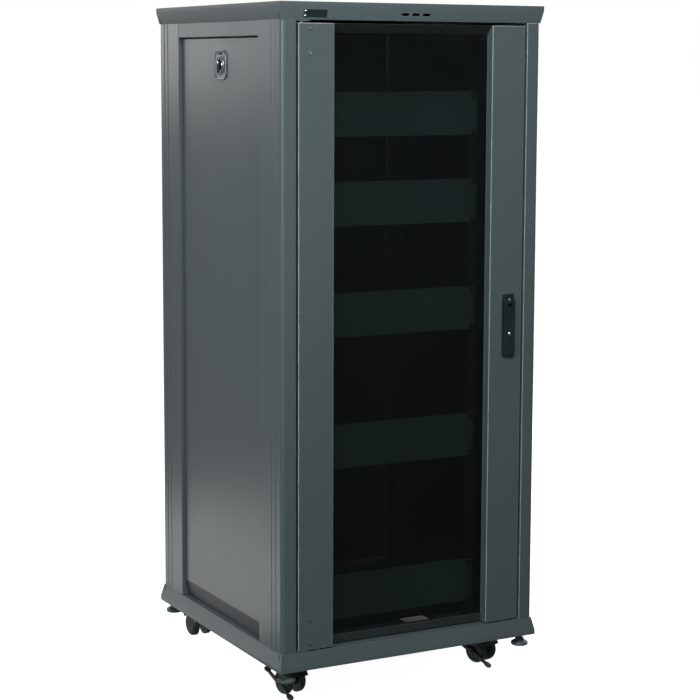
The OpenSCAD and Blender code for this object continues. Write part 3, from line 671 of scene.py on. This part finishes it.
def panel_seal(side):
    """Rubber strip that closes the gap over a side panel."""
    sign = -1 if side == "left" else 1
    low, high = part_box("side_panel_" + side)
    x = sign * (max(abs(low[0]), abs(high[0])) - SEAL_INSET * MM)
    mesh = bmesh.new()
    along = facing((0, 1, 0), (0, 0, 1), (x, low[1], high[2] + SEAL_RISE * MM))
    length = (high[1] - low[1]) / MM
    ends = (1, length - 1)
    loft(mesh, [rounded(SEAL_WIDTH, SEAL_THICKNESS, 1.2, end, 5) for end in ends], along)
    make_piece("panel_seal_" + side, mesh, "rubber", "cabinet", 0.0)


# ------------------------------------------------------------------ casters, feet and floor pan

# The cable opening's centre is in metres, and every other size here is in millimetres.
CABLE_OPENING = (0.123, -0.091)
CABLE_OPENING_SIZE = (65, 43)
AXLE_END, BRAKED_AXLE_END = 24.0, 30.5
PEDAL_OFFSET = 28
STEM_RADIUS = 5.0
STEM_FOOT = 10.5
THREAD_PITCH = 1.25
THREAD_CLEARANCE = 0.3
EDGING_LIP = 1.2


def caster_hubs(joint):
    """Domed ring in each wheel's face and caps on the axle's ends, about a caster's rolling joint."""
    name = joint["child"]
    braked = "front" in name
    for sign, end in ((1, "right"), (-1, "left")):
        out = Vector(joint["axis"]) * sign
        place = facing(out, (0, 0, 1), Vector(joint["pos_m"]))
        mesh = bmesh.new()
        ring = ((15.6, 21), (15.6, 22.9), (14.6, 23.6), (11.5, 23.9),
                (9.4, 23.6), (8.4, 22.9), (8.4, 21))
        lathe(mesh, ring, place)
        make_piece(name + "_hub_" + end, mesh, "hub_grey", name, 0.0)
        reach = BRAKED_AXLE_END if braked and end == "left" else AXLE_END
        mesh = bmesh.new()
        dome = ((4.4, reach), (4.4, reach + 0.7), (3.6, reach + 1.2), (0.1, reach + 1.5))
        lathe(mesh, dome, place, 32)
        make_piece(name + "_cap_" + end, mesh, "hub_grey", name, 0.0)


def pedal_treads(joint):
    """Wide treads on the two ends of a caster's rocker pedal."""
    axle = -Vector(joint["axis"])
    ahead = Vector((axle.y, -axle.x, 0))
    up = Vector((0, 0, 1))
    centre = Vector(joint["pos_m"])
    body = joint["child"]
    for name, along, height, slope in (("low", 45, -17.5, -25), ("high", -40, 16.8, -17)):
        angle = math.radians(slope)
        arm = ahead * math.cos(angle) + up * math.sin(angle)
        normal = arm.cross(axle)
        spot = centre + (ahead * along + up * height - axle * PEDAL_OFFSET) * MM
        mesh = bmesh.new()
        outline = ((12, 15, 5.2, -2.4), (12.4, 15.4, 5.4, 1.4), (10, 13, 4.4, 2.5))
        loft(mesh, [rounded(*size) for size in outline], facing(normal, arm, spot))
        make_piece(body + "_tread_" + name, mesh, "black_plastic", body, 0.4)


def foot_thread(name):
    """Thread ridges on the part of a levelling foot's stem that shows under the floor pan."""
    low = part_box(name)[0]
    centre = middle(name)
    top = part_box("floor_pan")[0][2] - THREAD_CLEARANCE * MM
    bottom = low[2] + STEM_FOOT * MM
    turns = int((top - bottom) / (THREAD_PITCH * MM))
    mesh = bmesh.new()
    profile = []
    for i in range(turns):
        root = THREAD_PITCH * i
        profile += [(STEM_RADIUS - 0.2, root), (STEM_RADIUS + 0.45, root + 0.62)]
    lathe(mesh, profile, Matrix.Translation((centre.x, centre.y, bottom)), 32)
    make_piece(name + "_thread", mesh, "zinc", name, 0.0)


def opening_edge():
    """Rubber edging round the cable opening in the floor pan."""
    low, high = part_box("floor_pan")
    width, length = CABLE_OPENING_SIZE
    mesh = bmesh.new()
    under, over = low[2] / MM - EDGING_LIP, high[2] / MM + EDGING_LIP
    inner = rounded(width - 3, length - 3, 4.5, 0)
    outer = rounded(width + 5, length + 5, 8.5, 0)
    slot = rounded(width, length, 6, 0)
    levels = ((inner, under + 0.6), (slot, under), (outer, under),
              (outer, over), (slot, over), (inner, over - 0.6))
    rings = [[(x, y, z) for x, y, _ in ring] for ring, z in levels]
    band(mesh, rings + rings[:1], Matrix.Translation((*CABLE_OPENING, 0)))
    make_piece("opening_edge", mesh, "rubber", "cabinet", 0.0)


RIM_HEIGHT = 9
SEAM_WIDTH, SEAM_DEPTH = 3.2, 0.8
NARROW_INSET, WIDE_INSET = (0.25, 11), (0.5, 5)


def mitre_seams():
    """Dark joints where the side members of base and cap end near the corners."""
    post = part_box("post_front_left")[0]
    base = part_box("base_skirt")
    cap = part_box("cap_frame")
    rim = RIM_HEIGHT * MM
    ends = (("base", base[0], base[0][2] + rim, base[1][2]),
            ("cap", cap[0], cap[1][2] - rim, cap[0][2]))
    for part, outer, wide_z, narrow_z in ends:
        for sx, sy in ((-1, -1), (1, -1), (-1, 1), (1, 1)):
            narrow, wide = (
                Vector((-sx * (edge[0] + inset[0] * MM), -sy * (edge[1] + inset[1] * MM), z))
                for edge, inset, z in ((post, NARROW_INSET, narrow_z), (outer, WIDE_INSET, wide_z)))
            place = facing(wide - narrow, (0, 1, 0), narrow)
            mesh = bmesh.new()
            ends_at = (0.6, (wide - narrow).length / MM - 0.4)
            loft(mesh, [rounded(SEAM_DEPTH, SEAM_WIDTH, 0.3, z, 3) for z in ends_at], place)
            corner = ("left_" if sx < 0 else "right_") + ("front" if sy < 0 else "rear")
            make_piece("seam_" + part + "_" + corner, mesh, "matt_black", "cabinet", 0.0)


# ------------------------------------------------------------------ build

make_camera()
make_world()
make_floor()
make_lights()
MATERIALS = make_materials()
dress_nodes(MATERIALS)
for side in ("left", "right"):
    latch_plate(side)
    latch_wing(side)
badge_studs()
key_plug()
handle_screw()
for side in ("left", "right"):
    panel_seal(side)
for joint in frame["record"]["behaviour"]["joints"]:
    if joint["name"].endswith("_roll"):
        caster_hubs(joint)
    if joint["name"].endswith("_brake"):
        pedal_treads(joint)
for corner in CORNERS:
    foot_thread("foot_" + corner)
opening_edge()
mitre_seams()
